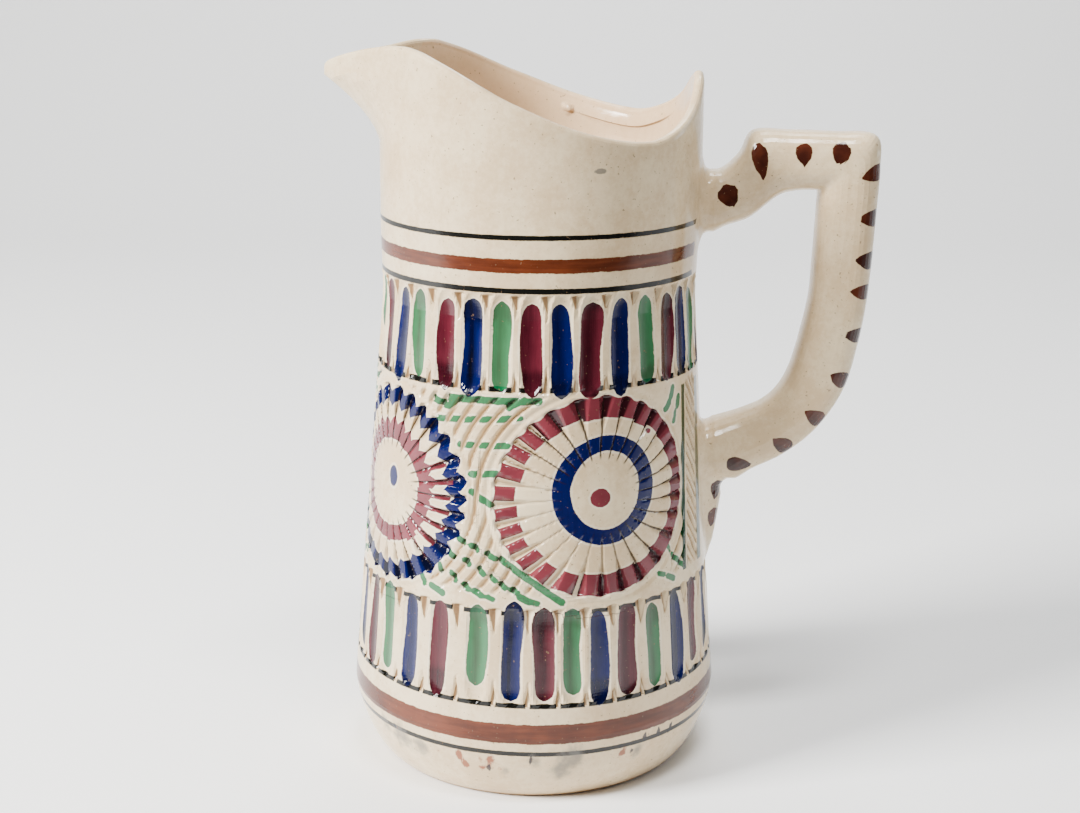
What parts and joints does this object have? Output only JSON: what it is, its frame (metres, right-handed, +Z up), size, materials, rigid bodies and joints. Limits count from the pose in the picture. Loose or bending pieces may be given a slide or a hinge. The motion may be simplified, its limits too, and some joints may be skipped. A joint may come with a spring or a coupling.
{
  "type": "pottery jug",
  "caption": "Tall tapering pottery jug with a beak spout, scooped rim, squared loop handle and carved bands.",
  "frame": {"origin": "centre of the flat underside, on the axis of the body", "axes": "+Z up, +X towards the handle, -X towards the spout"},
  "size_m": [0.1971, 0.1352, 0.2612],
  "materials": {
    "glazed_earthenware": "cream glaze over carved clay, with painted strokes and bands"
  },
  "bodies": {
    "root": {"jug": "glazed_earthenware"}
  },
  "joints": []
}
